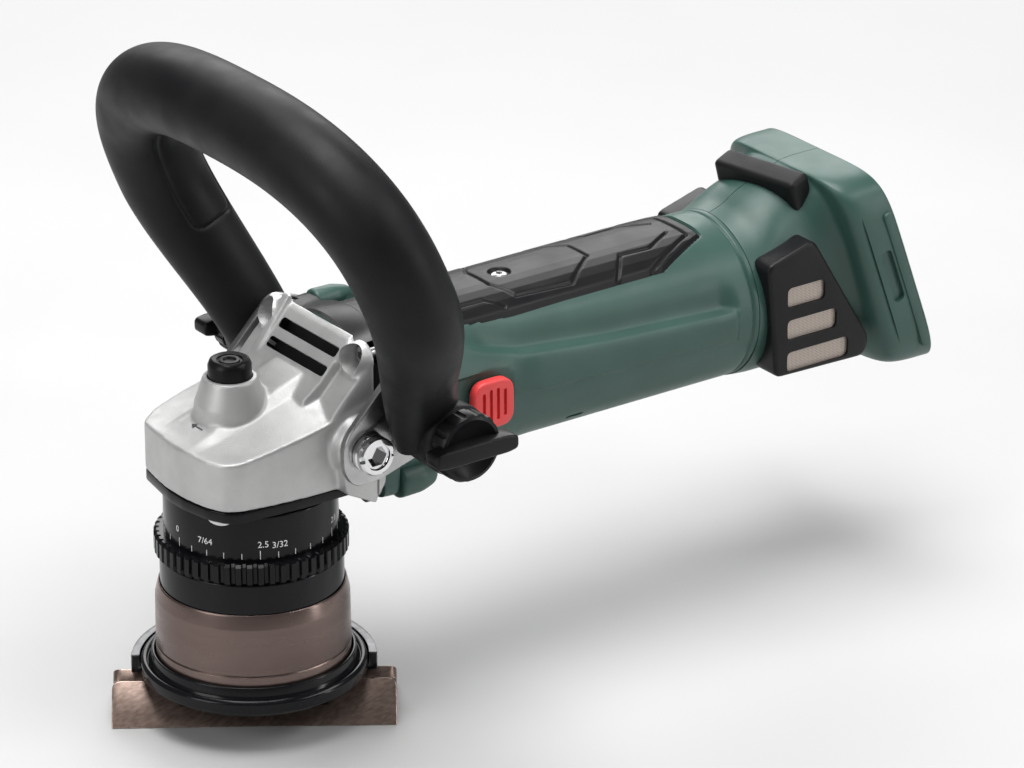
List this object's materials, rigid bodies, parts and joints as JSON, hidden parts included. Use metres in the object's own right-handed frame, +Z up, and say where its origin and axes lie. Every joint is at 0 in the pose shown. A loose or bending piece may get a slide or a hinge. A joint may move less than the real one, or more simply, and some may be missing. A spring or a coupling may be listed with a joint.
{
  "type": "cordless bevelling tool",
  "caption": "Cordless edge-bevelling machine with an angled guide shoe, turning depth ring, spindle lock, bow handle and swivelling battery foot.",
  "frame": {"origin": "bottom centre of the whole tool's box, in the plane the guide rails stand on", "axes": "+X back along the motor from the spindle to the battery foot, +Y to the user's right, +Z up along the spindle"},
  "size_m": [0.3284, 0.1866, 0.2399],
  "materials": {
    "cast_aluminium": "die-cast, fine grain, silver",
    "black_anodised": "black anodised, satin",
    "coated_steel": "hardened, bronze-brown coating",
    "bright_steel": "bright zinc or nickel",
    "carbide": "ground carbide",
    "green_plastic": "dark green, fine spark-eroded texture",
    "black_plastic": "satin black",
    "soft_grip": "soft-touch black",
    "red_plastic": "satin red",
    "white_mark": "white filled mark",
    "motor_iron": "laminated iron with magnets",
    "copper_winding": "varnished copper on laminated iron",
    "graphite": "pressed carbon",
    "circuit_board": "potted circuit board",
    "grey_lens": "smoked lens"
  },
  "bodies": {
    "machine": {"gear_housing": "cast_aluminium", "cover_plate": "black_anodised", "index_mark": "white_mark", "guide_neck": "black_anodised", "motor_housing": "green_plastic", "top_pad": "soft_grip", "pad_screw": "bright_steel", "flange_screw_1": "bright_steel", "flange_screw_2": "bright_steel", "flange_screw_3": "bright_steel", "flange_screw_4": "bright_steel", "handle_bracket_left": "bright_steel", "handle_bracket_right": "bright_steel", "side_bolt_left": "bright_steel", "side_bolt_right": "bright_steel", "stator": "motor_iron", "carbon_brush_left": "graphite", "carbon_brush_right": "graphite", "bearing_bridge": "black_plastic", "motor_bearing_front": "bright_steel", "motor_bearing_rear": "bright_steel", "spindle_bearing_lower": "bright_steel", "spindle_bearing_upper": "bright_steel", "lock_spring": "bright_steel"},
    "ring": {"depth_ring": "black_anodised"},
    "sleeve": {"guide_sleeve": "coated_steel"},
    "shoe": {"shoe_flange": "black_anodised", "chip_guard": "black_anodised", "guide_rail_front": "coated_steel", "guide_rail_rear": "coated_steel", "rail_screw_1": "bright_steel", "rail_screw_2": "bright_steel", "rail_screw_3": "bright_steel", "rail_screw_4": "bright_steel"},
    "cutter": {"spindle": "bright_steel", "crown_gear": "bright_steel", "milling_head": "bright_steel", "cutting_insert_1": "carbide", "cutting_insert_2": "carbide", "cutting_insert_3": "carbide", "cutter_screw": "bright_steel"},
    "rotor": {"motor_shaft": "bright_steel", "armature": "copper_winding", "commutator": "copper_winding", "cooling_fan": "black_plastic"},
    "lock": {"lock_button": "black_plastic"},
    "switch": {"slide_switch": "red_plastic"},
    "bow": {"bow_handle": "soft_grip"},
    "knob_left": {"wing_knob_left": "black_plastic"},
    "knob_right": {"wing_knob_right": "black_plastic"},
    "rear": {"rear_housing_left": "green_plastic", "rear_housing_right": "green_plastic", "filter_frame_left": "black_plastic", "filter_frame_right": "black_plastic", "battery_terminals": "black_plastic", "control_board": "circuit_board", "signal_lens": "grey_lens", "rear_bumper": "soft_grip"}
  },
  "joints": [
    {"name": "depth_ring_turn", "type": "hinge", "parent": "machine", "child": "ring", "pos_m": [-0.11315, 0, 0.074], "axis": [0, 0, 1], "range_deg": [-520, 52]},
    {"name": "guide_depth", "type": "slide", "parent": "machine", "child": "sleeve", "axis": [0, 0, 1], "range_m": [-0.0028, 0.0002]},
    {"name": "shoe_turn", "type": "hinge", "parent": "sleeve", "child": "shoe", "pos_m": [-0.11315, 0, 0.018], "axis": [0, 0, 1], "continuous": true},
    {"name": "cutter_spin", "type": "hinge", "parent": "machine", "child": "cutter", "pos_m": [-0.11315, 0, 0.06], "axis": [0, 0, 1], "continuous": true},
    {"name": "motor_spin", "type": "hinge", "parent": "machine", "child": "rotor", "pos_m": [0, 0, 0.109], "axis": [1, 0, 0], "continuous": true},
    {"name": "lock_press", "type": "slide", "parent": "machine", "child": "lock", "axis": [0, 0, -1], "range_m": [0, 0.0035], "stiffness_N_per_m": 700, "springref_m": -0.004, "deforming": ["lock_spring"]},
    {"name": "switch_slide", "type": "slide", "parent": "machine", "child": "switch", "axis": [1, 0, 0], "range_m": [-0.006, 0]},
    {"name": "bow_tilt", "type": "hinge", "parent": "machine", "child": "bow", "pos_m": [-0.06945, 0, 0.1132], "axis": [0, 1, 0], "range_deg": [-15, 45]},
    {"name": "knob_left_turn", "type": "hinge", "parent": "bow", "child": "knob_left", "pos_m": [-0.06945, -0.07, 0.1132], "axis": [0, -1, 0], "range_deg": [0, 270]},
    {"name": "knob_right_turn", "type": "hinge", "parent": "bow", "child": "knob_right", "pos_m": [-0.06945, 0.07, 0.1132], "axis": [0, 1, 0], "range_deg": [0, 270]},
    {"name": "rear_turn", "type": "hinge", "parent": "machine", "child": "rear", "pos_m": [0.086, 0, 0.109], "axis": [1, 0, 0], "range_deg": [-180, 90]}
  ],
  "couplings": [
    {"joint": "depth_ring_turn", "follows": "guide_depth", "rad_per_m": 3141.6},
    {"joint": "motor_spin", "follows": "cutter_spin", "ratio": 3.25}
  ]
}
